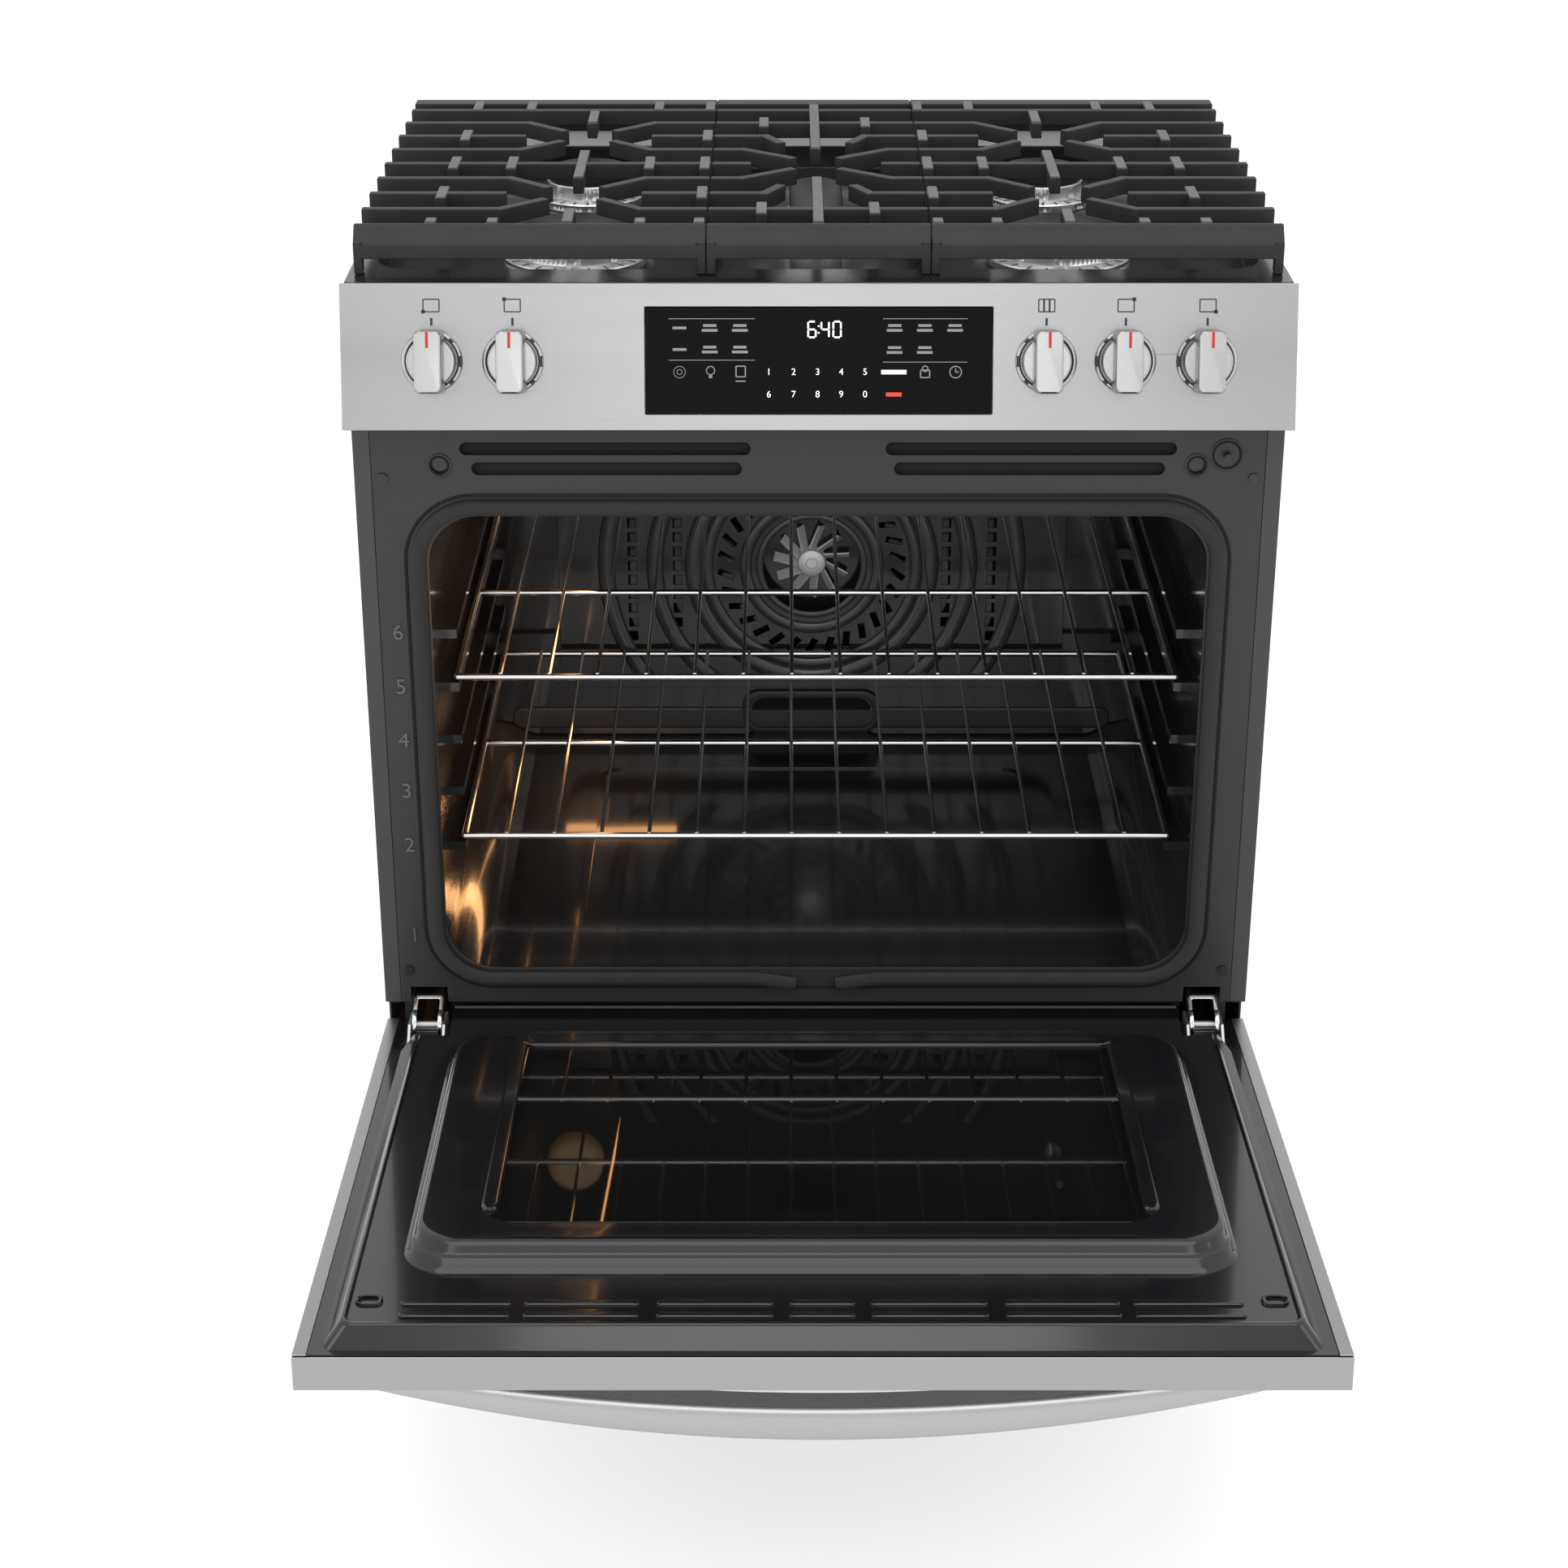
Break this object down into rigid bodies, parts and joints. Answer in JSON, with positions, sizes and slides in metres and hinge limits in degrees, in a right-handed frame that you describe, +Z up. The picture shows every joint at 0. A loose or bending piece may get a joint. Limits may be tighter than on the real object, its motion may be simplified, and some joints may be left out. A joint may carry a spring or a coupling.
{
  "type": "freestanding gas range",
  "caption": "Freestanding gas range with cast grates over sealed burners, sloped knob panel, convection oven with racks, drop-down door with bowed handle and storage drawer.",
  "frame": {"origin": "on the floor, under the middle of the range's box with the oven door open", "axes": "+X to the right as seen from the front, +Y to the back, +Z up"},
  "size_m": [0.762, 1.1902, 0.953],
  "materials": {
    "brushed_stainless": "satin",
    "satin_steel": "satin",
    "galvanized_steel": "satin",
    "black_enamel": "gloss",
    "gray_enamel": "satin",
    "oven_enamel": "gloss",
    "side_paint": "satin",
    "cast_iron": "matte",
    "burner_aluminium": "satin",
    "tube_aluminium": "satin",
    "chrome_wire": "gloss",
    "black_glass": "gloss",
    "oven_glass": "gloss",
    "lens_glass": "gloss",
    "woven_gasket": "matte",
    "glass_wool": "matte",
    "white_ceramic": "satin",
    "brass": "satin",
    "black_plastic": "matte",
    "white_plastic": "satin",
    "knob_metal": "satin"
  },
  "bodies": {
    "range_body": {"leveling_legs": "galvanized_steel", "base_frame": "galvanized_steel", "side_panel_right": "side_paint", "side_panel_left": "side_paint", "back_panel": "galvanized_steel", "power_inlet": "black_plastic", "front_frame": "gray_enamel", "panel_screws": "chrome_wire", "door_gasket": "woven_gasket", "oven_liner": "oven_enamel", "oven_floor_panel": "oven_enamel", "fan_cover": "oven_enamel", "fan_motor": "galvanized_steel", "oven_lamp": "white_ceramic", "lamp_lens": "lens_glass", "temperature_probe": "chrome_wire", "broil_burner": "galvanized_steel", "bake_burner": "galvanized_steel", "insulation_blanket": "glass_wool", "hinge_arms": "chrome_wire", "control_panel": "brushed_stainless", "display_glass": "black_glass", "control_board": "white_plastic", "knob_bezels": "knob_metal", "gas_valves": "brass", "gas_manifold": "galvanized_steel", "pressure_regulator": "burner_aluminium", "supply_tubes": "tube_aluminium", "cooktop_pan": "black_enamel", "rear_vent_trim": "black_enamel", "burner_heads": "burner_aluminium", "burner_caps": "cast_iron", "spark_electrodes": "white_ceramic", "light_switch_body": "black_plastic", "drawer_rails": "galvanized_steel"},
    "door": {"door_skin": "brushed_stainless", "door_outer_glass": "black_glass", "door_liner": "black_enamel", "door_inner_glass": "oven_glass", "door_hinge_channels": "galvanized_steel", "door_handle": "satin_steel"},
    "drawer": {"drawer_front": "brushed_stainless", "drawer_tray": "side_paint"},
    "rack_lower": {"rack_lower": "chrome_wire"},
    "rack_upper": {"rack_upper": "chrome_wire"},
    "fan": {"convection_fan": "burner_aluminium"},
    "light_switch_plunger": {"light_switch_plunger": "black_plastic"},
    "grate_left": {"grate_left": "cast_iron"},
    "grate_center": {"grate_center": "cast_iron"},
    "grate_right": {"grate_right": "cast_iron"},
    "stem_front_left": {"stem_front_left": "brass"},
    "knob_front_left": {"knob_front_left": "knob_metal"},
    "stem_rear_left": {"stem_rear_left": "brass"},
    "knob_rear_left": {"knob_rear_left": "knob_metal"},
    "stem_center": {"stem_center": "brass"},
    "knob_center": {"knob_center": "knob_metal"},
    "stem_rear_right": {"stem_rear_right": "brass"},
    "knob_rear_right": {"knob_rear_right": "knob_metal"},
    "stem_front_right": {"stem_front_right": "brass"},
    "knob_front_right": {"knob_front_right": "knob_metal"}
  },
  "joints": [
    {"name": "door_hinge", "type": "hinge", "parent": "range_body", "child": "door", "pos_m": [0, -0.05171, 0.25483], "axis": [1, 0, 0], "range_deg": [-86, 0]},
    {"name": "drawer_slide", "type": "slide", "parent": "range_body", "child": "drawer", "axis": [0, -1, 0], "range_m": [0, 0.4]},
    {"name": "rack_lower_slide", "type": "slide", "parent": "range_body", "child": "rack_lower", "axis": [0, -1, 0], "range_m": [0, 0.3]},
    {"name": "rack_upper_slide", "type": "slide", "parent": "range_body", "child": "rack_upper", "axis": [0, -1, 0], "range_m": [0, 0.3]},
    {"name": "fan_spin", "type": "hinge", "parent": "range_body", "child": "fan", "pos_m": [0, 0.48809, 0.49], "axis": [0, 1, 0], "continuous": true},
    {"name": "light_switch_push", "type": "slide", "parent": "range_body", "child": "light_switch_plunger", "axis": [0, 1, 0], "range_m": [0, 0.005], "stiffness_N_per_m": 200},
    {"name": "grate_left_lift", "type": "slide", "parent": "range_body", "child": "grate_left", "axis": [0, 0, 1], "range_m": [0, 0.12]},
    {"name": "grate_center_lift", "type": "slide", "parent": "range_body", "child": "grate_center", "axis": [0, 0, 1], "range_m": [0, 0.12]},
    {"name": "grate_right_lift", "type": "slide", "parent": "range_body", "child": "grate_right", "axis": [0, 0, 1], "range_m": [0, 0.12]},
    {"name": "knob_front_left_turn", "type": "hinge", "parent": "range_body", "child": "stem_front_left", "pos_m": [-0.308, -0.04924, 0.85501], "axis": [0, -0.9638, 0.2668], "range_deg": [0, 250]},
    {"name": "knob_front_left_push", "type": "slide", "parent": "stem_front_left", "child": "knob_front_left", "axis": [0, 0.9638, -0.2668], "range_m": [0, 0.004], "stiffness_N_per_m": 800},
    {"name": "knob_rear_left_turn", "type": "hinge", "parent": "range_body", "child": "stem_rear_left", "pos_m": [-0.2435, -0.04924, 0.85501], "axis": [0, -0.9638, 0.2668], "range_deg": [0, 250]},
    {"name": "knob_rear_left_push", "type": "slide", "parent": "stem_rear_left", "child": "knob_rear_left", "axis": [0, 0.9638, -0.2668], "range_m": [0, 0.004], "stiffness_N_per_m": 800},
    {"name": "knob_center_turn", "type": "hinge", "parent": "range_body", "child": "stem_center", "pos_m": [0.181, -0.04924, 0.85501], "axis": [0, -0.9638, 0.2668], "range_deg": [0, 250]},
    {"name": "knob_center_push", "type": "slide", "parent": "stem_center", "child": "knob_center", "axis": [0, 0.9638, -0.2668], "range_m": [0, 0.004], "stiffness_N_per_m": 800},
    {"name": "knob_rear_right_turn", "type": "hinge", "parent": "range_body", "child": "stem_rear_right", "pos_m": [0.244, -0.04924, 0.85501], "axis": [0, -0.9638, 0.2668], "range_deg": [0, 250]},
    {"name": "knob_rear_right_push", "type": "slide", "parent": "stem_rear_right", "child": "knob_rear_right", "axis": [0, 0.9638, -0.2668], "range_m": [0, 0.004], "stiffness_N_per_m": 800},
    {"name": "knob_front_right_turn", "type": "hinge", "parent": "range_body", "child": "stem_front_right", "pos_m": [0.309, -0.04924, 0.85501], "axis": [0, -0.9638, 0.2668], "range_deg": [0, 250]},
    {"name": "knob_front_right_push", "type": "slide", "parent": "stem_front_right", "child": "knob_front_right", "axis": [0, 0.9638, -0.2668], "range_m": [0, 0.004], "stiffness_N_per_m": 800}
  ]
}
